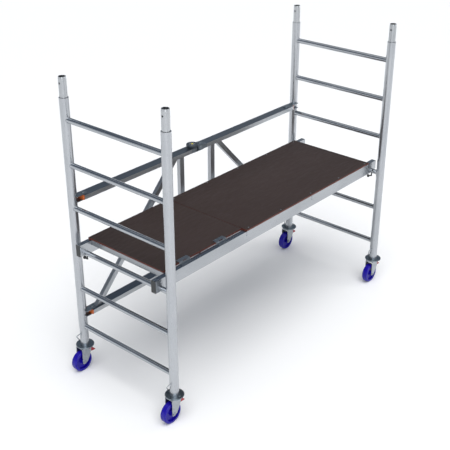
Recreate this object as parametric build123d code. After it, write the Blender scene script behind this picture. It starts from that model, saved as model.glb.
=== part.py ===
"""Folding mobile scaffold section: two ladder frames, a folding brace gate and a hooked deck.

Millimetres. +Z is up, +X runs along the deck and +Y runs across it, towards the brace gate.
The origin is on the floor, below the middle of the section.
"""

import os
from math import atan2, cos, degrees, radians, sin, sqrt

from build123d import *

# --- overall sizes -----------------------------------------------------------------------
FRAME_SPACING = 1956.0  # between the axes of the two ladder frames
UPRIGHT_SPACING = 716.5  # between the two uprights of a frame
RUNG_PITCH = 250.0
RUNG_COUNT = 6
RUNG_1_RISE = 128.0  # lowest rung's axis above the castor disc
TUBE_RISE = 118.0  # rim of the upright above the top rung's axis

# --- tubes of the ladder frames ------------------------------------------------------------
UPRIGHT_OD = 50.8
UPRIGHT_WALL = 2.4
RUNG_OD = 30.0
RUNG_WALL = 2.0
SPIGOT_GAP = 2.0  # ring between the spigot and the upright's bore
SPIGOT_HEIGHT = 109.0  # free length above the rim
SPIGOT_SEAT = 60.0  # depth inside the upright
SPIGOT_RELIEF = 9.0  # the seat stops this far below the rim
SPIGOT_NECK = 0.5  # the neck at the rim is this much slimmer
SPIGOT_NECK_RISE = 2.0
SPIGOT_TAPER_H = 10.0
SPIGOT_TAPER_R = 1.5
SPIGOT_WALL = 2.5
SPIGOT_HOLE_D = 11.0
SPIGOT_HOLE_DROP = 34.0  # below the tip

# --- castors ---------------------------------------------------------------------------------
WHEEL_D = 125.0
WHEEL_W = 37.0
WHEEL_HUB_W = 43.0
WHEEL_HUB_D = 34.0
WHEEL_WEB_W = 15.0
WHEEL_RIM_T = 14.0
WHEEL_TRAIL = 34.0  # axle behind the swivel axis
AXLE_D = 12.0
RUN_CLEAR = 0.3  # round parts that turn or slide in holes
CROWN_ABOVE_WHEEL = 25.0
CROWN_T = 3.5
DISC_T = 6.0
DISC_OD = 105.0
DISC_GAP = 3.5  # between the crown and the disc
DISC_HOLE_D = 8.0
DISC_HOLE_OUT = 9.6  # hole centres outside the upright's surface
SPINDLE_LENGTH = 95.0  # inside the upright
SPINDLE_WALL = 5.0
KINGPIN_D = 16.0
KINGPIN_HEAD_D = 28.0
KINGPIN_HEAD_T = 5.0
SWIVEL_CLEAR = 0.4
FORK_T = 3.0
FORK_SIDE_GAP = 2.5  # cheek to the wheel's hub
FORK_FRONT = 46.0  # crown edge on the trailing side
FORK_BACK = 20.0  # crown edge on the pedal side
FORK_TIP_R = 14.0
LEG_HEEL = (22.0, -4.5)  # corners of a cheek, from the axle
LEG_KNEE = (42.0, 27.5)
LEG_SHOULDER_DROP = 25.0
BEARING_OD = 60.0
PEDAL_W = 38.0
PEDAL_PIVOT_X = 10.0
PEDAL_PIVOT_DROP = 16.0  # below the crown
PEDAL_PIN_D = 6.0
PEDAL_REACH = 57.0  # from the swivel axis
PEDAL_OUTLINE = ((-6, 6), (6, 9), (24, -7), (47, -28), (44, -32), (18, -30), (4, -12), (-6, -6))
CLIP_D = 5.0
CLIP_RISE = 80.0  # above the disc
CLIP_POKE = 3.5  # past the upright's surface
CLIP_REACH = 33.6  # elbow outside the upright's surface
CLIP_SAG = 4.0
CLIP_FOOT_ANGLE = 97.0
CLIP_BEND_R = 7.0

# --- folding gate --------------------------------------------------------------------------
BAR_W = 60.0
BAR_H = 25.0
BAR_WALL = 2.5
BAR_GROOVE = 0.8
GATE_INSET = 19.5  # bar centre line inside the line of the uprights
UPPER_BAR_RISE = 57.5  # bar centre above the fourth rung's axis
LOWER_BAR_RISE = 87.5  # bar centre above the first rung's axis
PIN_TO_UPRIGHT = 32.6  # left outer pin to the upright's surface, along X
RIGHT_PIN_EXTRA = 52.0  # the right brackets are this much longer
LEFT_TAIL = 15.0  # tube past the left outer pin
RIGHT_TAIL = 46.0
PLUG_DEPTH = 8.0
PLUG_TONGUE = 34.0
KNUCKLE_GAP = 6.0  # between the two rounded inner ends
KNUCKLE_BACK = BAR_W / 2 + 4.0
POST_W = 35.0
STRUT_D = 25.0
DIAGONAL_W = 30.0
POST_FROM_PIN = 104.0
DIAGONAL_TOP = 175.7  # its outer edge, from the inner pin
DIAGONAL_CLEAR = 2.27  # its outer edge past the bracket's rounded end
STRUT_WALL = 2.0
PIN_D = 10.0
PIN_HEAD_D = 18.0
PIN_HEAD_T = 4.0
PLATE_T = 4.0
PLATE_CLEAR = 0.5
PLATE_HALF = 20.0
LINK_R = 26.0
HUB_CAP_D = 73.0
HUB_CAP_H = 15.0
HUB_DISH_D = 42.0
HUB_DISH_DEPTH = 2.5

# --- deck ------------------------------------------------------------------------------------
DECK_RUNG = 3  # the deck hangs on this rung
RAIL_W = 30.0
RAIL_H = 69.0
RAIL_WALL = 3.0
RAIL_LIFT = 3.0  # rail underside above the rung's axis
RAIL_FRONT_GAP = 50.0  # outer face from the front uprights' axes
RAIL_BACK_GAP = 68.5  # outer face from the back uprights' axes
RAIL_LEFT_OVERHANG = 57.0
RAIL_RIGHT_OVERHANG = 12.0
RAIL_STEP = 27.0  # the right end is stepped up from here inwards
RAIL_CAP_T = 3.0
PLUG_PAST_RUNG = 42.0  # end blocks run this far towards the deck's middle
SADDLE_CLEAR = 0.3
BOARD_T = 9.0
BOARD_LEFT_INSET = 30.0
BOARD_RIGHT_INSET = 68.0
TRAPDOOR_LENGTH = 623.0
TRAPDOOR_SETBACK = 36.0  # front edge behind the rail's outer face
SEAM = 3.0
BEAM_W = 30.0
BEAM_H = 30.0
BEAM_WALL = 2.5
HINGE_L = 78.0
HINGE_SPOTS = (190.0, 475.0)  # along X from the left frame
HINGE_BARREL_R = 3.5
HINGE_PIN_R = 1.5
HINGE_SETBACK = 4.0  # pin axis in front of the trapdoor's edge
HINGE_RISE = 4.0  # pin axis above the rail
HINGE_LEAF_T = 2.0
HINGE_LEAF_W = 24.0
HINGE_GAP = 0.4

# --- wind locks ------------------------------------------------------------------------------
LOCK_PIN_D = 8.0
LOCK_TRAVEL = 8.0
LOCK_BELOW_TOP = 1.0  # pin end below the rung's top when released
LOCK_HOLE_DEPTH = 10.0
LOCK_KNOB_D = 19.0
LOCK_KNOB_DROP = 34.0  # knob centre below the rung's axis
LOCK_ARM_T = 6.0
LOCK_LEFT_ARM = (0.0, 22.0)
LOCK_RIGHT_ARM = (-18.0, 12.0)

# --- places that follow from the sizes ---------------------------------------------------------
REACH_LEFT = WHEEL_TRAIL + WHEEL_D / 2
XL = -FRAME_SPACING / 2 + (REACH_LEFT - PEDAL_REACH) / 2
XR = XL + FRAME_SPACING
YF = -UPRIGHT_SPACING / 2
YB = UPRIGHT_SPACING / 2
CORNERS = {"front_left": (XL, YF), "back_left": (XL, YB), "front_right": (XR, YF), "back_right": (XR, YB)}
UPRIGHT_R = UPRIGHT_OD / 2
BORE_R = UPRIGHT_R - UPRIGHT_WALL
RUNG_R = RUNG_OD / 2
AXLE_Z = WHEEL_D / 2
CROWN_Z = WHEEL_D + CROWN_ABOVE_WHEEL
DISC_Z = CROWN_Z + CROWN_T + DISC_GAP
DISC_TOP_Z = DISC_Z + DISC_T
CLIP_Z = DISC_TOP_Z + CLIP_RISE
DISC_HOLE_R = UPRIGHT_R + DISC_HOLE_OUT
RUNG_ZS = [DISC_TOP_Z + RUNG_1_RISE + k * RUNG_PITCH for k in range(RUNG_COUNT)]
TUBE_TOP_Z = RUNG_ZS[-1] + TUBE_RISE
CHEEK_IN = WHEEL_HUB_W / 2 + FORK_SIDE_GAP
CHEEK_OUT = CHEEK_IN + FORK_T
GATE_Y = YB - GATE_INSET
UPPER_BAR_Z = RUNG_ZS[3] + UPPER_BAR_RISE
LOWER_BAR_Z = RUNG_ZS[0] + LOWER_BAR_RISE
BAR_ZS = (UPPER_BAR_Z, LOWER_BAR_Z)
OUTER_PIN_L = XL + UPRIGHT_R + PIN_TO_UPRIGHT
OUTER_PIN_R = XR - UPRIGHT_R - PIN_TO_UPRIGHT - RIGHT_PIN_EXTRA
HUB_PIN_GAP = BAR_W + KNUCKLE_GAP
HUB_PIN_L = (OUTER_PIN_L + OUTER_PIN_R - HUB_PIN_GAP) / 2
HUB_PIN_R = HUB_PIN_L + HUB_PIN_GAP
RUNG_Z = RUNG_ZS[DECK_RUNG - 1]
RAIL_Z0 = RUNG_Z + RAIL_LIFT
RAIL_Z1 = RAIL_Z0 + RAIL_H
SADDLE_R = RUNG_R + SADDLE_CLEAR
BOARD_Z1 = RAIL_Z1 + BOARD_T
RAIL_X0 = XL - RAIL_LEFT_OVERHANG
RAIL_X1 = XR + RAIL_RIGHT_OVERHANG
RAIL_FRONT_Y = YF + RAIL_FRONT_GAP
RAIL_BACK_Y = YB - RAIL_BACK_GAP - RAIL_W
DECK_BACK_Y = RAIL_BACK_Y + RAIL_W
BOARD_X0 = XL + BOARD_LEFT_INSET
BOARD_X1 = XR - BOARD_RIGHT_INSET
TRAPDOOR_X1 = BOARD_X0 + TRAPDOOR_LENGTH
TRAPDOOR_Y0 = RAIL_FRONT_Y + TRAPDOOR_SETBACK
HINGE_Y = TRAPDOOR_Y0 - HINGE_SETBACK
HINGE_Z = RAIL_Z1 + HINGE_RISE
LOCK_LEFT_Y = RAIL_BACK_Y + RAIL_W / 2
LOCK_RIGHT_Y = RAIL_FRONT_Y + RAIL_W / 2


def block(x0, x1, y0, y1, z0, z1):
    """A box between two corners."""
    solid = Box(x1 - x0, y1 - y0, z1 - z0, align=(Align.MIN, Align.MIN, Align.MIN))
    return Pos(x0, y0, z0) * solid


def rod_z(x, y, z0, z1, r):
    return Pos(x, y, z0) * Cylinder(r, z1 - z0, align=(Align.CENTER, Align.CENTER, Align.MIN))


def rod_x(x0, x1, y, z, r):
    return Pos((x0 + x1) / 2, y, z) * Rot(0, 90, 0) * Cylinder(r, x1 - x0)


def rod_y(x, y0, y1, z, r):
    return Pos(x, (y0 + y1) / 2, z) * Rot(90, 0, 0) * Cylinder(r, y1 - y0)


def prism_y(points, y0, y1):
    """A prism along Y from a closed outline of (x, z) points."""
    outline = Polyline(*[(x, y0, z) for x, z in points], close=True)
    return extrude(make_face(outline), y1 - y0, dir=(0, 1, 0))


def prism_x(points, x0, x1):
    """A prism along X from a closed outline of (y, z) points."""
    outline = Polyline(*[(x0, y, z) for y, z in points], close=True)
    return extrude(make_face(outline), x1 - x0, dir=(1, 0, 0))


def save(name, shape):
    """Writes one node, a solid or a group of like solids."""
    solids = []
    for item in shape if isinstance(shape, (list, tuple)) else [shape]:
        solids += list(item.solids())
    body = solids[0] if len(solids) == 1 else Compound(children=solids)
    body.label = name
    export_step(body, f"parts/{name}.step")


# --- ladder frames -----------------------------------------------------------------------------
def upright(x, y):
    """An open tube from the castor disc to the rim, cross-drilled for the castor clip."""
    tube = rod_z(x, y, DISC_TOP_Z, TUBE_TOP_Z, UPRIGHT_R) - rod_z(x, y, DISC_TOP_Z, TUBE_TOP_Z, BORE_R)
    reach = UPRIGHT_R + 1
    return tube - rod_x(x - reach, x + reach, y, CLIP_Z, CLIP_D / 2 + RUN_CLEAR)


def rung(x, z):
    """A tube between the uprights with its ends coped to their walls."""
    tube = rod_y(x, YF, YB, z, RUNG_R) - rod_y(x, YF - 1, YB + 1, z, RUNG_R - RUNG_WALL)
    for y in (YF, YB):
        tube -= rod_z(x, y, z - RUNG_OD, z + RUNG_OD, UPRIGHT_R)
    return tube


def rungs(x, lock_y):
    """All rungs of a frame; the deck's rung is drilled through for the wind lock."""
    pieces = [rung(x, z) for z in RUNG_ZS]
    hole = rod_z(x, lock_y, RUNG_Z - RUNG_OD, RUNG_Z + RUNG_OD, LOCK_PIN_D / 2 + RUN_CLEAR)
    pieces[DECK_RUNG - 1] -= hole
    return pieces


def spigot(x, y):
    """The sleeve that takes the next section: seated in the tube, tapered and cross-drilled."""
    seat = TUBE_TOP_Z - SPIGOT_SEAT
    seat_top = TUBE_TOP_Z - SPIGOT_RELIEF
    tip = TUBE_TOP_Z + SPIGOT_HEIGHT
    r = BORE_R - SPIGOT_GAP
    tip_r = r - SPIGOT_TAPER_R
    taper = Cone(r, tip_r, SPIGOT_TAPER_H, align=(Align.CENTER, Align.CENTER, Align.MIN))
    body = rod_z(x, y, seat, seat_top, BORE_R)
    body += rod_z(x, y, seat_top, TUBE_TOP_Z + SPIGOT_NECK_RISE, r - SPIGOT_NECK)
    body += rod_z(x, y, TUBE_TOP_Z + SPIGOT_NECK_RISE, tip - SPIGOT_TAPER_H, r)
    body += Pos(x, y, tip - SPIGOT_TAPER_H) * taper
    body -= rod_z(x, y, seat - 1, tip + 1, tip_r - SPIGOT_WALL)
    return body - rod_x(x - r - 1, x + r + 1, y, tip - SPIGOT_HOLE_DROP, SPIGOT_HOLE_D / 2)


# --- castors -------------------------------------------------------------------------------------
def castor_plate(x, y):
    """Drilled disc with the spindle that plugs into the upright and the kingpin below."""
    plate = rod_z(x, y, DISC_Z, DISC_TOP_Z, DISC_OD / 2)
    plate = fillet(plate.edges().filter_by(GeomType.CIRCLE), 1.5)
    spindle_r = BORE_R - RUN_CLEAR
    spindle = rod_z(x, y, DISC_TOP_Z - 1, DISC_TOP_Z + SPINDLE_LENGTH, spindle_r)
    spindle -= rod_z(x, y, DISC_TOP_Z, DISC_TOP_Z + SPINDLE_LENGTH + 1, spindle_r - SPINDLE_WALL)
    head_top = CROWN_Z - SWIVEL_CLEAR
    plate += spindle
    plate += rod_z(x, y, head_top - 1, DISC_Z + 1, KINGPIN_D / 2)
    plate += rod_z(x, y, head_top - KINGPIN_HEAD_T, head_top, KINGPIN_HEAD_D / 2)
    reach = UPRIGHT_R + 1
    plate -= rod_x(x - reach, x + reach, y, CLIP_Z, CLIP_D / 2 + RUN_CLEAR)
    for quarter in range(4):
        angle = radians(CLIP_FOOT_ANGLE + 90 * quarter)
        hole_x = x + DISC_HOLE_R * cos(angle)
        hole_y = y + DISC_HOLE_R * sin(angle)
        plate -= rod_z(hole_x, hole_y, DISC_Z - 1, DISC_TOP_Z + 1, DISC_HOLE_D / 2)
    return plate


def clip(x, y):
    """Bent wire clip: a pin through the upright, an elbow, and a leg down to a disc hole."""
    angle = radians(CLIP_FOOT_ANGLE)
    start = (x + UPRIGHT_R + CLIP_POKE, y, CLIP_Z)
    bend = (x - UPRIGHT_R - CLIP_D, y, CLIP_Z)
    elbow = (x - UPRIGHT_R - CLIP_REACH, y, CLIP_Z - CLIP_SAG)
    foot = (x + DISC_HOLE_R * cos(angle), y + DISC_HOLE_R * sin(angle), DISC_TOP_Z + CLIP_D / 2)
    path = FilletPolyline(start, bend, elbow, foot, radius=CLIP_BEND_R)
    section = Plane(origin=start, z_dir=(-1, 0, 0)) * Circle(CLIP_D / 2)
    return sweep(section, path=path)


def cheek_outline(x):
    """One fork cheek: upright trailing edge, tapered pedal edge, round end at the axle."""
    axle_x = x - WHEEL_TRAIL
    points = [(x - FORK_FRONT, CROWN_Z)]
    for angle in range(180, 300, 10):
        dx = FORK_TIP_R * cos(radians(angle))
        dz = FORK_TIP_R * sin(radians(angle))
        points.append((axle_x + dx, AXLE_Z + dz))
    points += [(axle_x + dx, AXLE_Z + dz) for dx, dz in (LEG_HEEL, LEG_KNEE)]
    points += [(x + FORK_BACK, CROWN_Z - LEG_SHOULDER_DROP), (x + FORK_BACK, CROWN_Z)]
    return points


def fork(x, y):
    """Pressed fork: crown with the bearing housing and two tapered cheeks."""
    width = FORK_FRONT + FORK_BACK
    centre = x + (FORK_BACK - FORK_FRONT) / 2
    crown = extrude(Pos(centre, y, CROWN_Z) * RectangleRounded(width, 2 * CHEEK_OUT, 3), CROWN_T)
    body = crown + rod_z(x, y, CROWN_Z, DISC_Z - SWIVEL_CLEAR, BEARING_OD / 2)
    for y0 in (y - CHEEK_OUT, y + CHEEK_IN):
        body += prism_y(cheek_outline(x), y0, y0 + FORK_T)
    body -= rod_z(x, y, CROWN_Z - 1, DISC_Z + 1, KINGPIN_D / 2 + SWIVEL_CLEAR)
    y0 = y - CHEEK_OUT - 1
    y1 = y + CHEEK_OUT + 1
    body -= rod_y(x - WHEEL_TRAIL, y0, y1, AXLE_Z, AXLE_D / 2)
    pivot_z = CROWN_Z - PEDAL_PIVOT_DROP
    return body - rod_y(x + PEDAL_PIVOT_X, y0, y1, pivot_z, PEDAL_PIN_D / 2 + RUN_CLEAR)


def axle(x, y):
    """Axle bolt with a hexagon head and nut outside the cheeks."""
    axle_x = x - WHEEL_TRAIL
    head_t = 5.0
    bolt = rod_y(axle_x, y - CHEEK_OUT - head_t, y + CHEEK_OUT + head_t, AXLE_Z, AXLE_D / 2)
    hexagon = RegularPolygon(AXLE_D * 0.8, 6)
    for y0 in (y - CHEEK_OUT, y + CHEEK_OUT + head_t):
        bolt += extrude(Plane(origin=(axle_x, y0, AXLE_Z), z_dir=(0, -1, 0)) * hexagon, head_t)
    return bolt


def wheel(x, y):
    """Solid castor wheel: hub, thin web and a deep rim with rounded shoulders."""
    axle_x = x - WHEEL_TRAIL
    half = WHEEL_W / 2
    body = rod_y(axle_x, y - half, y + half, AXLE_Z, WHEEL_D / 2)
    body = fillet(body.edges().filter_by(GeomType.CIRCLE), 6)
    depth = (WHEEL_W - WHEEL_WEB_W) / 2
    for y0 in (y - half - 1, y + half - depth):
        body -= rod_y(axle_x, y0, y0 + depth + 1, AXLE_Z, WHEEL_D / 2 - WHEEL_RIM_T)
    body += rod_y(axle_x, y - WHEEL_HUB_W / 2, y + WHEEL_HUB_W / 2, AXLE_Z, WHEEL_HUB_D / 2)
    return body - rod_y(axle_x, y - WHEEL_W, y + WHEEL_W, AXLE_Z, AXLE_D / 2 + RUN_CLEAR)


def pedal(x, y):
    """Wedge-shaped brake pedal with its pivot pin, hung between the cheeks."""
    pivot_x = x + PEDAL_PIVOT_X
    pivot_z = CROWN_Z - PEDAL_PIVOT_DROP
    outline = [(pivot_x + dx, pivot_z + dz) for dx, dz in PEDAL_OUTLINE]
    body = prism_y(outline, y - PEDAL_W / 2, y + PEDAL_W / 2)
    return body + rod_y(pivot_x, y - CHEEK_OUT + 0.5, y + CHEEK_OUT - 0.5, pivot_z, PEDAL_PIN_D / 2)


# --- folding gate ----------------------------------------------------------------------------------
def gate_bar(x0, x1, pin_x, z):
    """Hollow bar, grooved on both long edges and bored for its outer pin."""
    y0 = GATE_Y - BAR_W / 2
    y1 = GATE_Y + BAR_W / 2
    t = BAR_WALL
    half = BAR_H / 2
    bar = block(x0, x1, y0, y1, z - half, z + half)
    bar -= block(x0 - 1, x1 + 1, y0 + t, y1 - t, z - half + t, z + half - t)
    for dz in (-5.0, 5.0):
        bar -= block(x0 - 1, x1 + 1, y0 - 1, y0 + BAR_GROOVE, z + dz - 1.5, z + dz + 1.5)
        bar -= block(x0 - 1, x1 + 1, y1 - BAR_GROOVE, y1 + 1, z + dz - 1.5, z + dz + 1.5)
    return bar - rod_z(pin_x, GATE_Y, z - BAR_H, z + BAR_H, PIN_D / 2 + RUN_CLEAR)


def tongue(x, inwards, depth, z):
    """The part of a bar's end piece that sits inside the tube."""
    half_w = BAR_W / 2 - BAR_WALL
    half_h = BAR_H / 2 - BAR_WALL
    x1 = x + inwards * depth
    return block(min(x, x1), max(x, x1), GATE_Y - half_w, GATE_Y + half_w, z - half_h, z + half_h)


def end_plug(pin_x, tail, out, z):
    """Rounded plug in a bar's outer end; out is -1 or 1, away from the bar."""
    x0 = pin_x + out * tail
    x1 = x0 + out * PLUG_DEPTH
    half = BAR_W / 2
    cap = block(min(x0, x1), max(x0, x1), GATE_Y - half, GATE_Y + half, z - BAR_H / 2, z + BAR_H / 2)
    rim = cap.edges().filter_by(Axis.Z).group_by(Axis.X)[-1 if out > 0 else 0]
    plug = fillet(rim, PLUG_DEPTH * 0.95) + tongue(x0, -out, PLUG_TONGUE, z)
    return plug - rod_z(pin_x, GATE_Y, z - BAR_H, z + BAR_H, PIN_D / 2 + RUN_CLEAR)


def knuckle(pin_x, out, z):
    """Solid inner end of a bar, round about its centre pin; out is away from the bar."""
    low = z - BAR_H / 2
    high = z + BAR_H / 2
    half = BAR_W / 2
    back = pin_x - out * KNUCKLE_BACK
    body = block(min(back, pin_x), max(back, pin_x), GATE_Y - half, GATE_Y + half, low, high)
    body += rod_z(pin_x, GATE_Y, low, high, half)
    body += tongue(back, -out, PLUG_TONGUE, z)
    return body - rod_z(pin_x, GATE_Y, low - 1, high + 1, PIN_D / 2 + RUN_CLEAR)


def post(x):
    """Short vertical tube between the two bars, beside the centre hinge."""
    z0 = LOWER_BAR_Z + BAR_H / 2
    z1 = UPPER_BAR_Z - BAR_H / 2
    w = POST_W / 2
    d = STRUT_D / 2
    t = STRUT_WALL
    tube = block(x - w, x + w, GATE_Y - d, GATE_Y + d, z0, z1)
    return tube - block(x - w + t, x + w - t, GATE_Y - d + t, GATE_Y + d - t, z0 - 1, z1 + 1)


def slanted(x_foot, x_top, half, z0, z1):
    """Outline of a slanting tube cut level at both ends."""
    foot = [(x_foot - half, z0), (x_foot + half, z0)]
    return foot + [(x_top + half, z1), (x_top - half, z1)]


def diagonal(edge_top, edge_foot, out):
    """Slanting tube from under the upper bar to the lower bar's outer end."""
    z0 = LOWER_BAR_Z + BAR_H / 2
    z1 = UPPER_BAR_Z - BAR_H / 2
    lean = atan2(abs(edge_top - edge_foot), z1 - z0)
    half = DIAGONAL_W / 2 / cos(lean)
    x_foot = edge_foot - out * half
    x_top = edge_top - out * half
    d = STRUT_D / 2
    t = STRUT_WALL
    tube = prism_y(slanted(x_foot, x_top, half, z0, z1), GATE_Y - d, GATE_Y + d)
    bore = slanted(x_foot, x_top, half - t / cos(lean), z0, z1)
    return tube - prism_y(bore, GATE_Y - d + t, GATE_Y + d - t)


def plate_levels(z):
    """Undersides of the plates below and above a bar at height z."""
    return (z - BAR_H / 2 - PLATE_CLEAR - PLATE_T, z + BAR_H / 2 + PLATE_CLEAR)


def lug(x_upright, x_pin, z0):
    """Flat plate from the back upright to the gate's outer pin."""
    x0 = min(x_upright, x_pin)
    x1 = max(x_upright, x_pin)
    plate = block(x0, x1, GATE_Y - PLATE_HALF, GATE_Y + PLATE_HALF, z0, z0 + PLATE_T)
    plate += rod_z(x_pin, GATE_Y, z0, z0 + PLATE_T, PLATE_HALF)
    plate -= rod_z(x_upright, YB, z0 - 1, z0 + PLATE_T + 1, UPRIGHT_R)
    plate -= rod_z(x_pin, GATE_Y, z0 - 1, z0 + PLATE_T + 1, PIN_D / 2)
    return sorted(plate.solids(), key=lambda solid: solid.volume)[-1]


def hinge_pin(x, z):
    """Headed pin through both plates and the bar's end."""
    low, high = plate_levels(z)
    top = high + PLATE_T
    pin = rod_z(x, GATE_Y, low - 1, top, PIN_D / 2)
    pin += rod_z(x, GATE_Y, low - PIN_HEAD_T, low, PIN_HEAD_D / 2 - 1)
    head = rod_z(x, GATE_Y, top, top + PIN_HEAD_T, PIN_HEAD_D / 2)
    return pin + fillet(head.edges().group_by(Axis.Z)[-1], 1.2)


def link_plate(z0):
    """Flat link between the two centre pins."""
    plate = block(HUB_PIN_L, HUB_PIN_R, GATE_Y - LINK_R, GATE_Y + LINK_R, z0, z0 + PLATE_T)
    for x in (HUB_PIN_L, HUB_PIN_R):
        plate += rod_z(x, GATE_Y, z0, z0 + PLATE_T, LINK_R)
    for x in (HUB_PIN_L, HUB_PIN_R):
        plate -= rod_z(x, GATE_Y, z0 - 1, z0 + PLATE_T + 1, PIN_D / 2)
    return plate


def hub_cap():
    """Round dished cap over the upper left centre pin."""
    z0 = plate_levels(UPPER_BAR_Z)[1] + PLATE_T
    top = z0 + HUB_CAP_H
    cap = rod_z(HUB_PIN_L, GATE_Y, z0, top, HUB_CAP_D / 2)
    cap = fillet(cap.edges().group_by(Axis.Z)[-1], 4)
    cap -= rod_z(HUB_PIN_L, GATE_Y, top - HUB_DISH_DEPTH, top + 1, HUB_DISH_D / 2)
    return cap - rod_z(HUB_PIN_L, GATE_Y, z0 - 1, z0 + PIN_HEAD_T, PIN_HEAD_D / 2)


# --- deck --------------------------------------------------------------------------------------------
def rung_seats(y0, y1):
    """What the two rungs take out of the rails: a saddle on the left, a step on the right."""
    saddle = rod_y(XL, y0, y1, RUNG_Z, SADDLE_R)
    step = block(XR - RAIL_STEP, RAIL_X1 + RAIL_CAP_T + 1, y0, y1, RAIL_Z0 - 1, RUNG_Z + SADDLE_R)
    return saddle + step


def rail(y0):
    """Hollow side rail, cut for the rungs near each end."""
    y1 = y0 + RAIL_W
    t = RAIL_WALL
    body = block(RAIL_X0, RAIL_X1, y0, y1, RAIL_Z0, RAIL_Z1)
    body -= block(RAIL_X0 - 1, RAIL_X1 + 1, y0 + t, y1 - t, RAIL_Z0 + t, RAIL_Z1 - t)
    return body - rung_seats(y0 - 1, y1 + 1)


def rail_plug(x_cap, x_in, y0, lock_x):
    """Black end block with a thin flange; lock_x marks the rung whose lock enters it."""
    t = RAIL_WALL
    out = 1 if x_cap > x_in else -1
    x_flange = x_cap + out * RAIL_CAP_T
    flange = block(min(x_cap, x_flange), max(x_cap, x_flange), y0, y0 + RAIL_W, RAIL_Z0, RAIL_Z1)
    flange = fillet(flange.edges().filter_by(Axis.X), 2)
    x0 = min(x_cap, x_in)
    x1 = max(x_cap, x_in)
    body = flange + block(x0, x1, y0 + t, y0 + RAIL_W - t, RAIL_Z0 + t, RAIL_Z1 - t)
    body -= rung_seats(y0 - 1, y0 + RAIL_W + 1)
    if lock_x is None:
        return body
    seat_z = RUNG_Z + SADDLE_R
    hole_r = LOCK_PIN_D / 2 + RUN_CLEAR
    return body - rod_z(lock_x, y0 + RAIL_W / 2, seat_z - 1, seat_z + LOCK_HOLE_DEPTH, hole_r)


def cross_beam(x0):
    """Hollow cross beam under the boards, between the rails."""
    y0 = RAIL_FRONT_Y + RAIL_W
    z0 = RAIL_Z1 - BEAM_H
    t = BEAM_WALL
    tube = block(x0, x0 + BEAM_W, y0, RAIL_BACK_Y, z0, RAIL_Z1)
    return tube - block(x0 + t, x0 + BEAM_W - t, y0 - 1, RAIL_BACK_Y + 1, z0 + t, RAIL_Z1 - t)


def fixed_leaf(x):
    """Hinge leaf on the front rail with the middle barrel and its pin."""
    half = HINGE_L / 2
    third = HINGE_L / 6
    edge = HINGE_Y - HINGE_BARREL_R - HINGE_GAP
    leaf = block(x - half, x + half, edge - HINGE_LEAF_W + 4, edge, RAIL_Z1, RAIL_Z1 + HINGE_LEAF_T)
    leaf += block(x - third, x + third, edge - 1, HINGE_Y, RAIL_Z1, RAIL_Z1 + HINGE_LEAF_T)
    leaf += rod_x(x - third, x + third, HINGE_Y, HINGE_Z, HINGE_BARREL_R)
    return leaf + rod_x(x - half, x + half, HINGE_Y, HINGE_Z, HINGE_PIN_R)


def moving_leaf(x):
    """Hinge leaf on the trapdoor with the two outer barrels and three rivet heads."""
    half = HINGE_L / 2
    third = HINGE_L / 6
    y0 = HINGE_Y + HINGE_SETBACK
    top = BOARD_Z1 + HINGE_LEAF_T
    leaf = block(x - half, x + half, y0, y0 + HINGE_LEAF_W, BOARD_Z1, top)
    strap = [(HINGE_Y, HINGE_Z), (HINGE_Y, HINGE_Z + 5), (y0 - 1.5, top), (y0 + 1, top)]
    strap += [(y0 + 1, BOARD_Z1), (y0 - 0.4, BOARD_Z1), (y0 - 0.4, HINGE_Z)]
    for a, b in ((x - half, x - third - HINGE_GAP), (x + third + HINGE_GAP, x + half)):
        leaf += prism_x(strap, a, b)
        leaf += rod_x(a, b, HINGE_Y, HINGE_Z, HINGE_BARREL_R)
    for k in (-1, 0, 1):
        leaf += rod_z(x + k * 2 * third, y0 + HINGE_LEAF_W / 2, top - 1, top + 1.5, 4)
    return leaf - rod_x(x - HINGE_L, x + HINGE_L, HINGE_Y, HINGE_Z, HINGE_PIN_R + RUN_CLEAR)


# --- wind locks --------------------------------------------------------------------------------------
def wind_lock(x, y, arm):
    """Pin that pushes up through a rung into the deck's end block, with a knob on a side arm."""
    dx, dy = arm
    top = RUNG_Z + RUNG_R - LOCK_BELOW_TOP
    knob_z = RUNG_Z - LOCK_KNOB_DROP
    arm_z0 = knob_z - LOCK_ARM_T / 2
    body = rod_z(x, y, arm_z0, top, LOCK_PIN_D / 2)
    body += rod_z(x, y, arm_z0, arm_z0 + LOCK_ARM_T, LOCK_PIN_D / 2 + 1)
    length = sqrt(dx * dx + dy * dy)
    bar = Box(length, LOCK_PIN_D, LOCK_ARM_T, align=(Align.MIN, Align.CENTER, Align.MIN))
    body += Pos(x, y, arm_z0) * Rot(0, 0, degrees(atan2(dy, dx))) * bar
    return body + Pos(x + dx, y + dy, knob_z) * Sphere(LOCK_KNOB_D / 2)


def build_frames():
    for name, (x, y) in CORNERS.items():
        save(f"upright_{name}", upright(x, y))
    ends = (("left", XL, OUTER_PIN_L, LOCK_LEFT_Y), ("right", XR, OUTER_PIN_R, LOCK_RIGHT_Y))
    for side, x, pin_x, lock_y in ends:
        save(f"rungs_{side}", rungs(x, lock_y))
        save(f"spigots_{side}", [spigot(x, YF), spigot(x, YB)])
        save(f"castor_plates_{side}", [castor_plate(x, YF), castor_plate(x, YB)])
        levels = [level for z in BAR_ZS for level in plate_levels(z)]
        save(f"gate_brackets_{side}", [lug(x, pin_x, level) for level in levels])
        save(f"gate_pins_{side}", [hinge_pin(pin_x, z) for z in BAR_ZS])
    save("wind_lock_left", wind_lock(XL, LOCK_LEFT_Y, LOCK_LEFT_ARM))
    save("wind_lock_right", wind_lock(XR, LOCK_RIGHT_Y, LOCK_RIGHT_ARM))


def build_castors():
    for name, (x, y) in CORNERS.items():
        save(f"castor_clip_{name}", clip(x, y))
        save(f"castor_fork_{name}", fork(x, y))
        save(f"castor_axle_{name}", axle(x, y))
        save(f"castor_wheel_{name}", wheel(x, y))
        save(f"brake_pedal_{name}", pedal(x, y))


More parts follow.
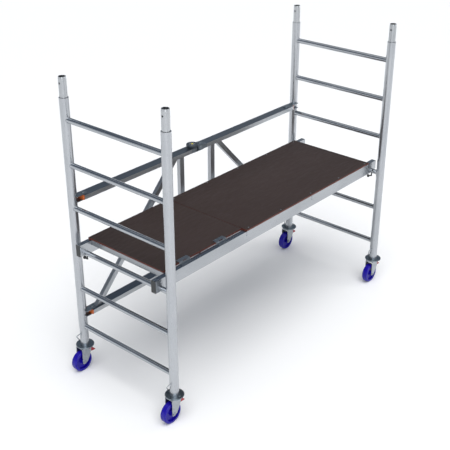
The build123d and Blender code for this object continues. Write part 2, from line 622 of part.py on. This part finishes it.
def build_gate():
    left = ("left", OUTER_PIN_L, HUB_PIN_L, -1, LEFT_TAIL)
    right = ("right", OUTER_PIN_R, HUB_PIN_R, 1, RIGHT_TAIL)
    for side, outer, inner, out, tail in (left, right):
        ends = (outer + out * tail, inner + out * KNUCKLE_BACK)
        for level, z in (("upper", UPPER_BAR_Z), ("lower", LOWER_BAR_Z)):
            save(f"gate_bar_{level}_{side}", gate_bar(min(ends), max(ends), outer, z))
        top = inner + out * DIAGONAL_TOP
        foot = outer - out * (PLATE_HALF + DIAGONAL_CLEAR)
        save(f"gate_struts_{side}", [post(inner + out * POST_FROM_PIN), diagonal(top, foot, out)])
        save(f"gate_end_plugs_{side}", [end_plug(outer, tail, out, z) for z in BAR_ZS])
        save(f"gate_knuckles_{side}", [knuckle(inner, -out, z) for z in BAR_ZS])
    for level, z in (("upper", UPPER_BAR_Z), ("lower", LOWER_BAR_Z)):
        save(f"hub_links_{level}", [link_plate(z0) for z0 in plate_levels(z)])
        save(f"hub_pins_{level}", [hinge_pin(x, z) for x in (HUB_PIN_L, HUB_PIN_R)])
    save("hub_cap", hub_cap())


def build_deck():
    left_in = XL + PLUG_PAST_RUNG
    right_in = XR - PLUG_PAST_RUNG
    save("deck_rail_front", rail(RAIL_FRONT_Y))
    save("deck_rail_back", rail(RAIL_BACK_Y))
    plugs = [rail_plug(RAIL_X0, left_in, RAIL_FRONT_Y, None)]
    plugs.append(rail_plug(RAIL_X0, left_in, RAIL_BACK_Y, XL))
    plugs.append(rail_plug(RAIL_X1, right_in, RAIL_FRONT_Y, XR))
    plugs.append(rail_plug(RAIL_X1, right_in, RAIL_BACK_Y, None))
    save("deck_end_plugs", plugs)
    seam_x = TRAPDOOR_X1 + SEAM / 2 - BEAM_W / 2
    last_x = BOARD_X1 - BEAM_W
    spots = (BOARD_X0, seam_x, (seam_x + last_x) / 2, last_x)
    save("deck_cross_beams", [cross_beam(x) for x in spots])
    fixed_x0 = TRAPDOOR_X1 + SEAM
    save("deck_board", block(fixed_x0, BOARD_X1, RAIL_FRONT_Y, DECK_BACK_Y, RAIL_Z1, BOARD_Z1))
    door = block(BOARD_X0, TRAPDOOR_X1, TRAPDOOR_Y0, DECK_BACK_Y, RAIL_Z1, BOARD_Z1)
    save("trapdoor_board", door)
    hinge_xs = [XL + spot for spot in HINGE_SPOTS]
    save("trapdoor_hinges_fixed", [fixed_leaf(x) for x in hinge_xs])
    save("trapdoor_hinges_moving", [moving_leaf(x) for x in hinge_xs])


os.makedirs("parts", exist_ok=True)
build_frames()
build_castors()
build_gate()
build_deck()
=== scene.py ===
"""Folding mobile scaffold section: finishes, small fittings, floor, light and camera.

Lengths are in metres, or in mm times MM.
"""

import math

import bpy
from mathutils import Matrix, Vector


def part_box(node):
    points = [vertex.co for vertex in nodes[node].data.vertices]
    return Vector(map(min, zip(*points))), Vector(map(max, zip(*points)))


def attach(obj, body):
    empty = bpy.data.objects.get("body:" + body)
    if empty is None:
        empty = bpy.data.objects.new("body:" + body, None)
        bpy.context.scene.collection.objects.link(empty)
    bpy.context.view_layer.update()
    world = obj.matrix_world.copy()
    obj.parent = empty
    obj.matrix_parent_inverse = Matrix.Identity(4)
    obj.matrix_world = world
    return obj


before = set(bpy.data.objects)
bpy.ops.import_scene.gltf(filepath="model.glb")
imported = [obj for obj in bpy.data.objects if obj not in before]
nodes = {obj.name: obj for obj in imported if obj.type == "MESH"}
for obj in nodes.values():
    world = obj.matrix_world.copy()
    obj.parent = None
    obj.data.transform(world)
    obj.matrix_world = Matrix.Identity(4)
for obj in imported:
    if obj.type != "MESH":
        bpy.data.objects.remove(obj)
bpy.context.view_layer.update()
MM = 0.001


# --- camera ----------------------------------------------------------------------------------
CAMERA_PLACE = (-3.647, -3.033, 3.126)
CAMERA_PITCH = 27.27  # degrees below level
CAMERA_HEADING = 40.78  # degrees from +X towards +Y
CAMERA_LENS = 70.8
FAR_CLIP = 400.0


def add_camera():
    """A view down from beyond the front left corner, above the top of the frames."""
    data = bpy.data.cameras.new("camera")
    data.lens = CAMERA_LENS
    data.sensor_width = 36.0
    data.clip_end = FAR_CLIP
    camera = bpy.data.objects.new("camera", data)
    camera.location = CAMERA_PLACE
    tilt = math.radians(90 - CAMERA_PITCH)
    camera.rotation_euler = (tilt, 0.0, math.radians(CAMERA_HEADING - 90))
    bpy.context.collection.objects.link(camera)
    bpy.context.scene.camera = camera


# --- material helpers --------------------------------------------------------------------------
MAPPING = "ShaderNodeMapping"
NOISE = "ShaderNodeTexNoise"
VORONOI = "ShaderNodeTexVoronoi"
RANGE = "ShaderNodeMapRange"
MIX = "ShaderNodeMix"
BUMP = "ShaderNodeBump"
SPLIT = "ShaderNodeSeparateXYZ"
PLACE = "ShaderNodeTexCoord"
# A colour mix takes its factor and its two colours at these inputs, and gives its colour at COLOUR.
FACTOR, FIRST, SECOND, COLOUR = 0, 6, 7, 2


def colour(code):
    """An sRGB hex value as the linear colour that a socket takes."""
    parts = [int(code[k : k + 2], 16) / 255 for k in (1, 3, 5)]
    return [c / 12.92 if c <= 0.04045 else ((c + 0.055) / 1.055) ** 2.4 for c in parts] + [1.0]


def add(tree, kind, inputs=None, **settings):
    """Adds a shader node; its inputs are values, or nodes that stand for their main output."""
    made = tree.nodes.new(kind)
    for key, value in settings.items():
        setattr(made, key, value)
    for key, value in (inputs or {}).items():
        if isinstance(value, bpy.types.Node):
            value = value.outputs[COLOUR if value.bl_idname == MIX else 0]
        if isinstance(value, bpy.types.NodeSocket):
            tree.links.new(value, made.inputs[key])
        else:
            made.inputs[key].default_value = value
    return made


def new_material(name, metallic, ior=1.5):
    """A material, its node tree and its shader."""
    material = bpy.data.materials.new(name)
    material.use_nodes = True
    tree = material.node_tree
    shader = tree.nodes["Principled BSDF"]
    shader.inputs["Metallic"].default_value = metallic
    shader.inputs["IOR"].default_value = ior
    return material, tree, shader


def cells(axis, across, lengthwise):
    """Pattern scale in cells per metre, from a feature's size in mm across and along an axis."""
    return tuple(1000.0 / (lengthwise if k == axis else across) for k in range(3))


def even(size):
    """Pattern scale in cells per metre, from a feature's size in mm."""
    return cells(None, size, size)


def span(value, low, high, start=0.3, end=0.7):
    """Inputs that carry a noise value between start and end over to low and high."""
    return {"Value": value, "From Min": start, "From Max": end, "To Min": low, "To Max": high}


def grain(vector, detail, roughness):
    """Inputs of a noise on coordinates that are already in cells."""
    return {"Vector": vector, "Scale": 1.0, "Detail": detail, "Roughness": roughness}


def tints(factor, first, second):
    """Inputs of a colour mix."""
    return {FACTOR: factor, FIRST: first, SECOND: second}


def finish(tree, shader, tint, rough, bump):
    """Joins a material's three results to its shader."""
    tree.links.new(tint.outputs[COLOUR], shader.inputs["Base Color"])
    tree.links.new(rough.outputs[0], shader.inputs["Roughness"])
    tree.links.new(bump.outputs[0], shader.inputs["Normal"])


# --- metals ------------------------------------------------------------------------------------
def extruded_aluminium(name, code, dull, axis, rough=(0.27, 0.34)):
    """Mill-finished extrusion: a soft satin grey with fine lines along it and duller handled spots."""
    material, tree, shader = new_material(name, 1.0)
    spot = add(tree, PLACE).outputs["Object"]
    # Die lines 1.1 mm apart that run 500 mm, handling marks of 80 by 250 mm, scuffs of 6 by 80 mm.
    at_lines = add(tree, MAPPING, {"Vector": spot, "Scale": cells(axis, 1.1, 500.0)})
    at_marks = add(tree, MAPPING, {"Vector": spot, "Scale": cells(axis, 80.0, 250.0)})
    at_scuffs = add(tree, MAPPING, {"Vector": spot, "Scale": cells(axis, 6.0, 80.0)})
    lines = add(tree, NOISE, grain(at_lines, 4.0, 0.6))
    marks = add(tree, NOISE, grain(at_marks, 2.0, 0.4))
    scuffs = add(tree, NOISE, grain(at_scuffs, 3.0, 0.5))
    handled = add(tree, RANGE, span(marks, 0.0, 0.6, 0.4, 0.75))
    lined = add(tree, RANGE, span(lines, 0.0, 0.1))
    base = add(tree, MIX, tints(handled, colour(code), colour(dull)), data_type="RGBA")
    tint = add(tree, MIX, tints(lined, base, colour("#6E7378")), data_type="RGBA")
    worn = add(tree, RANGE, span(scuffs, rough[0], rough[1], 0.4, 0.8))
    bump = add(tree, BUMP, {"Height": lines, "Distance": 0.1 * MM, "Strength": 0.06})
    finish(tree, shader, tint, worn, bump)
    return material


def zinc_plated_steel(name, code, shade, rough=(0.3, 0.5), crystal=3.8):
    """Bright zinc plating: bluish grey crystals, each a little lighter or darker than the next."""
    material, tree, shader = new_material(name, 1.0)
    spot = add(tree, PLACE).outputs["Object"]
    # Crystals of the given size in mm, under a haze of 17 mm clouds.
    crystals = add(tree, VORONOI, {"Vector": spot, "Scale": 1000.0 / crystal})
    at_haze = add(tree, MAPPING, {"Vector": spot, "Scale": even(16.7)})
    haze = add(tree, NOISE, grain(at_haze, 5.0, 0.6))
    bright = add(tree, RANGE, span(crystals.outputs["Color"], 0.0, 0.45, 0.0, 1.0))
    cloudy = add(tree, RANGE, span(haze, 0.0, 0.5))
    plated = add(tree, MIX, tints(bright, colour(code), colour(shade)), data_type="RGBA")
    tint = add(tree, MIX, tints(cloudy, plated, colour(shade)), data_type="RGBA")
    worn = add(tree, RANGE, span(haze, rough[0], rough[1]))
    bump = add(tree, BUMP, {"Height": haze, "Distance": 0.2 * MM, "Strength": 0.15})
    finish(tree, shader, tint, worn, bump)
    return material


def grooved_bar():
    """Grooved gate profile: level faces painted slate grey as a painted reflection of a dark sky, in
    dusty patches; sides a brighter grey with die lines.
    """
    material, tree, shader = new_material("aluminium_gate_profile_painted_slate_reflection", 1.0)
    spot = add(tree, PLACE).outputs["Object"]
    # Die lines 1.4 mm apart that run 500 mm, and dusty patches of 50 by 200 mm.
    at_lines = add(tree, MAPPING, {"Vector": spot, "Scale": cells(0, 1.4, 500.0)})
    at_patches = add(tree, MAPPING, {"Vector": spot, "Scale": cells(0, 50.0, 200.0)})
    lines = add(tree, NOISE, grain(at_lines, 4.0, 0.6))
    patches = add(tree, NOISE, grain(at_patches, 3.0, 0.5))
    facing = add(tree, PLACE).outputs["Normal"]
    parts = add(tree, SPLIT, {"Vector": facing})
    level = add(tree, "ShaderNodeMath", {0: parts.outputs["Z"]}, operation="ABSOLUTE")
    flat = add(tree, RANGE, span(level, 0.0, 1.0, 0.4, 0.6))
    dust = add(tree, RANGE, span(patches, 0.0, 1.0))
    lined = add(tree, RANGE, span(lines, 0.0, 0.5))
    # Painted reflection: these slate greys stand for the dark sky mirrored in the top and bottom
    # faces; the dust patches only vary them.
    dusty = add(tree, MIX, tints(dust, colour("#767F89"), colour("#666F79")), data_type="RGBA")
    bright = add(tree, MIX, tints(lined, colour("#C2C5C8"), colour("#999DA1")), data_type="RGBA")
    # Level faces take the painted slate reflection, upright faces the bright die-lined grey.
    tint = add(tree, MIX, tints(flat, bright, dusty), data_type="RGBA")
    worn = add(tree, RANGE, span(patches, 0.3, 0.4))
    bump = add(tree, BUMP, {"Height": lines, "Distance": 0.1 * MM, "Strength": 0.1})
    finish(tree, shader, tint, worn, bump)
    return material


# --- plastics ----------------------------------------------------------------------------------
def moulded_plastic(name, code, rubbed, rough, pit=1.1, coat=0.0, sheen=0.5):
    """Injection-moulded part: an even colour with spark-eroded grain, paler where hands rub it."""
    material, tree, shader = new_material(name, 0.0, 1.49)
    spot = add(tree, PLACE).outputs["Object"]
    # Pits of the given size in mm, and rubbed patches of 22 mm.
    at_pits = add(tree, MAPPING, {"Vector": spot, "Scale": even(pit)})
    at_rubs = add(tree, MAPPING, {"Vector": spot, "Scale": even(22.0)})
    pits = add(tree, NOISE, grain(at_pits, 2.0, 0.5))
    rubs = add(tree, NOISE, grain(at_rubs, 5.0, 0.6))
    pale = add(tree, RANGE, span(rubs, 0.0, 1.0, 0.5, 0.8))
    tint = add(tree, MIX, tints(pale, colour(code), colour(rubbed)), data_type="RGBA")
    worn = add(tree, RANGE, span(rubs, rough, rough + 0.16))
    bump = add(tree, BUMP, {"Height": pits, "Distance": 0.12 * MM, "Strength": 0.25})
    shader.inputs["Coat Weight"].default_value = coat
    shader.inputs["Coat Roughness"].default_value = 0.08
    shader.inputs["Specular IOR Level"].default_value = sheen
    finish(tree, shader, tint, worn, bump)
    return material


# --- deck boards -------------------------------------------------------------------------------
def film_faced_plywood():
    """Birch ply under brown phenolic film: a dull brown mesh grip, dusty tracks, red-brown edges."""
    material, tree, shader = new_material("phenolic_film_faced_plywood", 0.0, 1.52)
    spot = add(tree, PLACE).outputs["Object"]
    turn = (0.0, 0.0, math.radians(45))
    turned = add(tree, MAPPING, {"Vector": spot, "Rotation": turn, "Scale": (1.0, 1.0, 0.02)})
    # The wire mesh pressed into the film has 5 mm openings; the plies are 1.1 mm thick.
    weave = add(tree, VORONOI, {"Vector": turned, "Scale": 200.0, "Randomness": 0.0})
    at_plies = add(tree, MAPPING, {"Vector": spot, "Scale": cells(2, 40.0, 1.1)})
    # Dust lies in patches of 330 by 200 mm, and boots leave tracks of 70 by 17 mm.
    at_dust = add(tree, MAPPING, {"Vector": spot, "Scale": (3.0, 5.0, 3.0)})
    at_tracks = add(tree, MAPPING, {"Vector": spot, "Scale": (14.0, 60.0, 10.0)})
    dust = add(tree, NOISE, grain(at_dust, 6.0, 0.65))
    tracks = add(tree, NOISE, grain(at_tracks, 4.0, 0.7))
    plies = add(tree, NOISE, grain(at_plies, 2.0, 0.5))
    mesh = add(tree, RANGE, span(weave.outputs["Distance"], 0.0, 1.0, 0.25, 0.6))
    dusty = add(tree, RANGE, span(dust, 0.0, 0.55, 0.4, 0.75))
    trodden = add(tree, RANGE, span(tracks, 0.0, 0.35, 0.55, 0.8))
    pressed = add(tree, RANGE, span(mesh, 0.12, 0.0, 0.0, 1.0))
    layered = add(tree, RANGE, span(plies, 0.0, 1.0))
    film = add(tree, MIX, tints(dusty, colour("#30231F"), colour("#382B28")), data_type="RGBA")
    film = add(tree, MIX, tints(trodden, film, colour("#413733")), data_type="RGBA")
    film = add(tree, MIX, tints(pressed, film, colour("#1F1817")), data_type="RGBA")
    edge = add(tree, MIX, tints(layered, colour("#4A2018"), colour("#663024")), data_type="RGBA")
    facing = add(tree, PLACE).outputs["Normal"]
    parts = add(tree, SPLIT, {"Vector": facing})
    level = add(tree, "ShaderNodeMath", {0: parts.outputs["Z"]}, operation="ABSOLUTE")
    flat = add(tree, RANGE, span(level, 0.0, 1.0, 0.4, 0.6))
    tint = add(tree, MIX, tints(flat, edge, film), data_type="RGBA")
    worn = add(tree, RANGE, span(tracks, 0.42, 0.62))
    bump = add(tree, BUMP, {"Height": mesh, "Distance": 0.2 * MM, "Strength": 0.35})
    shader.inputs["Specular IOR Level"].default_value = 0.32
    finish(tree, shader, tint, worn, bump)
    return material


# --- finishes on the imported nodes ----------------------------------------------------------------
def dress(start, material):
    """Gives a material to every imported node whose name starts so."""
    for name, item in nodes.items():
        if name.startswith(start):
            for slot in item.material_slots:
                slot.material = material


upright_metal = extruded_aluminium("mill_aluminium_upright", "#BCBFC3", "#A8ACB1", 2)
rung_metal = extruded_aluminium("mill_aluminium_rung", "#B2B6BB", "#9CA1A7", 1, (0.2, 0.27))
spigot_metal = extruded_aluminium("turned_aluminium_spigot", "#BBBEC1", "#A6AAAE", 2, (0.25, 0.32))
rail_metal = extruded_aluminium("bright_aluminium_rail", "#B0B3B7", "#9DA1A5", 0, (0.22, 0.3))
beam_metal = extruded_aluminium("mill_aluminium_beam", "#A3A7AB", "#8F9397", 1)
strut_metal = extruded_aluminium("mill_aluminium_strut", "#AEB1B5", "#9B9FA3", 2, (0.36, 0.46))
plate_metal = extruded_aluminium("sawn_aluminium_plate", "#8A939B", "#747D85", 0, (0.34, 0.5))
knuckle_metal = zinc_plated_steel("cast_aluminium_knuckle", "#98A0A7", "#7D858D", (0.34, 0.48), 2.4)
disc_metal = zinc_plated_steel("zinc_plated_castor_disc", "#8C969E", "#6B757D", (0.28, 0.44))
fork_metal = zinc_plated_steel("zinc_plated_pressing", "#B4B9BE", "#92989E", (0.24, 0.4))
pin_metal = zinc_plated_steel("zinc_plated_bolt", "#A2A8AE", "#7F868C", (0.24, 0.4), 2.0)
wire_metal = zinc_plated_steel("bright_drawn_wire", "#BCC0C4", "#9AA0A5", (0.18, 0.3), 1.4)
blue_tyre = moulded_plastic("cast_polyurethane_blue", "#12038C", "#1C0A9C", 0.3, 2.0, 0.1, 0.28)
red_lever = moulded_plastic("glossy_nylon_red", "#98081A", "#A82030", 0.28, 1.4, 0.2)
orange_plug = moulded_plastic("moulded_polyethylene_orange", "#B2561E", "#C4703C", 0.42)
black_plug = moulded_plastic("moulded_polyethylene_black", "#2A2C2D", "#45484A", 0.42)
hub_plastic = moulded_plastic("moulded_nylon_slate", "#252E37", "#3C464F", 0.36, 1.25, 0.15)
board = film_faced_plywood()

for start, material in (
    ("upright_", upright_metal),
    ("rungs_", rung_metal),
    ("spigots_", spigot_metal),
    ("castor_plates_", disc_metal),
    ("castor_clip_", wire_metal),
    ("castor_fork_", fork_metal),
    ("castor_axle_", pin_metal),
    ("castor_wheel_", blue_tyre),
    ("brake_pedal_", red_lever),
    ("gate_brackets_", plate_metal),
    ("gate_pins_", pin_metal),
    ("hub_pins_", pin_metal),
    ("hub_links_", plate_metal),
    ("hub_cap", hub_plastic),
    ("gate_bar_", grooved_bar()),
    ("gate_struts_", strut_metal),
    ("gate_end_plugs_", orange_plug),
    ("gate_knuckles_", knuckle_metal),
    ("deck_rail_", rail_metal),
    ("deck_cross_beams", beam_metal),
    ("deck_board", board),
    ("trapdoor_board", board),
    ("deck_end_plugs", black_plug),
    ("trapdoor_hinges_", pin_metal),
    ("wind_lock_", black_plug),
):
    dress(start, material)


# --- small fittings ------------------------------------------------------------------------------
SMOOTH_ANGLE = math.radians(40)
BEAD = 1.9 * MM  # a weld bead's radius
BEAD_OUT = 0.4 * MM  # its centre line outside the rung
BEAD_POOLS = 16
BEAD_SWELL = 0.05
RUNGS = 6
RIVET_R, RIVET_H = 4.2 * MM, 1.6 * MM
RIVET_STEP = 8 * MM  # from the beam's middle height to each of its two rivets
BEAM_HALF = 15 * MM
SCREW_R, SCREW_H = 4.5 * MM, 1.0 * MM
SCREW_INSET = 15 * MM  # from the board's long edges
SCREW_END = 30 * MM  # from its short edges
SCREW_ROWS = 5
DISH_DEPTH = 2.5 * MM
BUSH_R, BUSH_W, BUSH_WALL = 10.5 * MM, 2.6 * MM, 3.0 * MM
BUSH_OUT = 0.3 * MM  # middle of the bush outside the wheel's face


def deselect():
    bpy.ops.object.select_all(action="DESELECT")


def settle(piece, name, material):
    """Puts a finished piece's place in its mesh, names it and gives it its finish."""
    deselect()
    piece.select_set(True)
    bpy.context.view_layer.objects.active = piece
    bpy.ops.object.transform_apply(location=True, rotation=True, scale=True)
    piece.name = name
    piece.data.name = name
    piece.data.materials.clear()
    piece.data.materials.append(material)
    bpy.ops.object.shade_smooth_by_angle(angle=SMOOTH_ANGLE)
    return piece


def copies(piece, places):
    """Copies a piece modelled at the origin to each place, joins the copies and drops the pattern."""
    made = []
    for place in places:
        item = piece.copy()
        item.data = piece.data.copy()
        item.data.transform(place)
        bpy.context.collection.objects.link(item)
        made.append(item)
    bpy.data.objects.remove(piece)
    deselect()
    for item in made:
        item.select_set(True)
    bpy.context.view_layer.objects.active = made[0]
    bpy.ops.object.join()
    return made[0]


def domed_head(radius, height, inset):
    """A rivet head: a short disc with its top drawn in and its rim rounded."""
    deselect()
    bpy.ops.mesh.primitive_cylinder_add(vertices=24, radius=radius, depth=height)
    head = bpy.context.object
    bpy.ops.object.mode_set(mode="EDIT")
    bpy.ops.mesh.select_mode(type="FACE")
    bpy.ops.mesh.select_all(action="DESELECT")
    bpy.ops.object.mode_set(mode="OBJECT")
    for face in head.data.polygons:
        face.select = face.normal.z > 0.9
    bpy.ops.object.mode_set(mode="EDIT")
    bpy.ops.mesh.inset(thickness=inset, depth=0.0)
    bpy.ops.transform.translate(value=(0.0, 0.0, height * 0.35))
    bpy.ops.object.mode_set(mode="OBJECT")
    bevel = head.modifiers.new("rim", "BEVEL")
    bevel.width = height * 0.2
    bevel.segments = 2
    bevel.angle_limit = math.radians(30)
    bpy.ops.object.modifier_apply(modifier="rim")
    return head


def weld_ring(radius, thickness):
    """A weld bead round a rung's end, lumpy from its overlapping pools."""
    deselect()
    bpy.ops.mesh.primitive_torus_add(
        major_radius=radius,
        minor_radius=thickness,
        major_segments=64,
        minor_segments=10,
        rotation=(math.pi / 2, 0, 0),
    )
    ring = bpy.context.object
    bpy.ops.object.transform_apply(location=True, rotation=True, scale=True)
    for vertex in ring.data.vertices:
        angle = math.atan2(vertex.co.z, vertex.co.x)
        swell = 1.0 + BEAD_SWELL * math.cos(BEAD_POOLS * angle)
        vertex.co.x *= 1 + (swell - 1) * 0.4
        vertex.co.z *= 1 + (swell - 1) * 0.4
        vertex.co.y *= swell
    return ring


def cope(ring, side, upright_radius):
    """Bends a weld ring onto the round upright that it sits on."""
    for vertex in ring.data.vertices:
        across = min(abs(vertex.co.x), upright_radius * 0.9)
        vertex.co.y -= side * (upright_radius - math.sqrt(upright_radius**2 - across**2))


def add_rung_welds():
    """Beads where the rungs meet the uprights."""
    weld_metal = zinc_plated_steel("weld_bead_aluminium", "#B6B9BD", "#8E9297", (0.3, 0.5), 1.7)
    for side in ("left", "right"):
        low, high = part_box(f"rungs_{side}")
        front_low, front_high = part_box(f"upright_front_{side}")
        radius = (front_high[0] - front_low[0]) / 2
        x = (front_low[0] + front_high[0]) / 2
        rung_radius = (high[0] - low[0]) / 2
        pitch = (high[2] - low[2] - 2 * rung_radius) / (RUNGS - 1)
        y_front = (front_low[1] + front_high[1]) / 2
        rings = []
        for end, y in ((1, y_front + radius), (-1, -y_front - radius)):
            ring = weld_ring(rung_radius + BEAD_OUT, BEAD)
            cope(ring, end, radius)
            first = low[2] + rung_radius
            spots = [Matrix.Translation((x, y, first + k * pitch)) for k in range(RUNGS)]
            rings.append(copies(ring, spots))
        deselect()
        for ring in rings:
            ring.select_set(True)
        bpy.context.view_layer.objects.active = rings[0]
        bpy.ops.object.join()
        welds = settle(rings[0], f"rung_welds_{side}", weld_metal)
        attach(welds, f"frame_{side}")


def add_rail_rivets():
    """Rivets through the rails into each cross beam."""
    front_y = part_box("deck_rail_front")[0][1]
    back_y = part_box("deck_rail_back")[1][1]
    beam_low, beam_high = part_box("deck_cross_beams")
    seam = (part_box("trapdoor_board")[1][0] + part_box("deck_board")[0][0]) / 2
    last = beam_high[0] - BEAM_HALF
    height = (beam_low[2] + beam_high[2]) / 2
    proud = RIVET_H / 4
    places = []
    for x in (beam_low[0] + BEAM_HALF, seam, (seam + last) / 2, last):
        for z in (height - RIVET_STEP, height + RIVET_STEP):
            for y, turn in ((front_y - proud, math.pi / 2), (back_y + proud, -math.pi / 2)):
                places.append(Matrix.Translation((x, y, z)) @ Matrix.Rotation(turn, 4, "X"))
    rivets = settle(copies(domed_head(RIVET_R, RIVET_H, 1.6 * MM), places), "rail_rivets", pin_metal)
    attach(rivets, "deck")


def add_board_screws():
    """Low screw heads that hold the fixed panel to the rails and beams."""
    low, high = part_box("deck_board")
    rows = (low[1] + SCREW_INSET, high[1] - SCREW_INSET)
    step = (high[0] - low[0] - 2 * SCREW_END) / (SCREW_ROWS - 1)
    columns = [low[0] + SCREW_END + k * step for k in range(SCREW_ROWS)]
    places = [Matrix.Translation((x, y, high[2])) for x in columns for y in rows]
    screws = settle(copies(domed_head(SCREW_R, SCREW_H, 2.0 * MM), places), "board_screws", pin_metal)
    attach(screws, "deck")


def add_hub_centre():
    """Bright disc in the cap's dish, with a yellow indicator button in the middle."""
    low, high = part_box("hub_cap")
    centre = ((low[0] + high[0]) / 2, (low[1] + high[1]) / 2)
    dish = high[2] - DISH_DEPTH
    plate = domed_head(19.5 * MM, 2.0 * MM, 4.0 * MM)
    plate.location = (centre[0], centre[1], dish + 0.9 * MM)
    settle(plate, "hub_centre_plate", spigot_metal)
    yellow = moulded_plastic("moulded_nylon_yellow", "#C8B400", "#D8C840", 0.34)
    button = domed_head(7.0 * MM, 2.0 * MM, 2.0 * MM)
    button.location = (centre[0], centre[1], dish + 2.2 * MM)
    settle(button, "hub_indicator_button", yellow)
    for piece, slot in ((plate, "pin_steel"), (button, "hub_plastic")):
        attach(piece, "link_upper")


def turned_collar(radius, width, wall):
    """A short turned ring about Y: an open sleeve given a wall and rounded at its corners."""
    deselect()
    bpy.ops.mesh.primitive_cylinder_add(
        vertices=40, radius=radius, depth=width, end_fill_type="NOTHING", rotation=(math.pi / 2, 0, 0)
    )
    collar = bpy.context.object
    bpy.ops.object.transform_apply(location=True, rotation=True, scale=True)
    thick = collar.modifiers.new("wall", "SOLIDIFY")
    thick.thickness = wall
    thick.offset = 0.0
    bpy.ops.object.modifier_apply(modifier="wall")
    rim = collar.modifiers.new("rim", "BEVEL")
    rim.width = wall * 0.25
    rim.segments = 2
    rim.angle_limit = math.radians(40)
    bpy.ops.object.modifier_apply(modifier="rim")
    return collar


def add_wheel_bushes():
    """Grey bearing bushes that show round the axle on both faces of each wheel."""
    bush_plastic = moulded_plastic("moulded_acetal_grey", "#5C6064", "#74787C", 0.4)
    for name in ("front_left", "back_left", "front_right", "back_right"):
        low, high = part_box(f"castor_wheel_{name}")
        x = (low[0] + high[0]) / 2
        z = (low[2] + high[2]) / 2
        spots = [Matrix.Translation((x, y, z)) for y in (low[1] - BUSH_OUT, high[1] + BUSH_OUT)]
        collar = turned_collar(BUSH_R, BUSH_W, BUSH_WALL)
        bush = settle(copies(collar, spots), f"wheel_bush_{name}", bush_plastic)
        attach(bush, f"wheel_{name}")


add_rung_welds()
add_rail_rivets()
add_board_screws()
add_hub_centre()
add_wheel_bushes()


# --- floor, light and camera -----------------------------------------------------------------------
FLOOR_SIZE = 600.0  # far enough for no edge to show in a level view
FLOOR_DROP = 0.5 * MM  # below the wheels


def add_floor():
    """Plain pale floor."""
    deselect()
    bpy.ops.mesh.primitive_plane_add(size=FLOOR_SIZE, location=(0.0, 0.0, -FLOOR_DROP))
    floor = bpy.context.object
    floor.name = "floor"
    material, _, shader = new_material("pale_studio_floor", 0.0)
    shader.inputs["Base Color"].default_value = colour("#F4F4F4")
    shader.inputs["Roughness"].default_value = 0.9
    shader.inputs["Specular IOR Level"].default_value = 0.1
    floor.data.materials.append(material)


def add_area(name, place, aim, size, power):
    """A soft rectangular light that faces a point."""
    data = bpy.data.lights.new(name, "AREA")
    data.shape = "RECTANGLE"
    data.size, data.size_y = size
    data.energy = power
    light = bpy.data.objects.new(name, data)
    light.location = place
    light.rotation_euler = (Vector(aim) - Vector(place)).to_track_quat("-Z", "Y").to_euler()
    bpy.context.collection.objects.link(light)


def add_sun(name, direction, strength, spread):
    """A wide soft light from high up that lights the floor evenly."""
    data = bpy.data.lights.new(name, "SUN")
    data.energy = strength
    data.angle = math.radians(spread)
    light = bpy.data.objects.new(name, data)
    light.rotation_euler = Vector(direction).to_track_quat("Z", "Y").to_euler()
    bpy.context.collection.objects.link(light)


def add_world():
    """Pale surroundings, darker high up, so that top faces reflect a deeper grey than the sides."""
    world = bpy.data.worlds.new("studio")
    bpy.context.scene.world = world
    world.use_nodes = True
    tree = world.node_tree
    background = tree.nodes["Background"]
    place = add(tree, PLACE)
    height = add(tree, SPLIT, {"Vector": place.outputs["Generated"]}).outputs["Z"]
    low = add(tree, RANGE, span(height, 0.0, 1.0, 0.02, 0.5))
    high = add(tree, RANGE, span(height, 0.0, 1.0, 0.68, 0.86))
    sky = add(tree, MIX, tints(low, colour("#E6E9EC"), colour("#3A4C62")), data_type="RGBA")
    sky = add(tree, MIX, tints(high, sky, colour("#FFFFFF")), data_type="RGBA")
    ray = add(tree, "ShaderNodeLightPath").outputs["Is Camera Ray"]
    seen = add(tree, MIX, tints(ray, sky, colour("#F6F6F6")), data_type="RGBA")
    tree.links.new(seen.outputs[COLOUR], background.inputs["Color"])
    background.inputs["Strength"].default_value = 1.0


add_floor()
add_world()
add_sun("high_soft_sun", (-0.35, -0.45, 1.0), 2.2, 60.0)
add_area("key_softbox", (-4.5, -4.0, 3.0), (0.0, 0.0, 0.8), (1.2, 3.5), 40.0)
add_area("right_softbox", (4.5, -3.5, 2.5), (0.0, 0.0, 0.8), (1.2, 3.0), 30.0)
add_camera()
bpy.context.scene.view_settings.view_transform = "Standard"
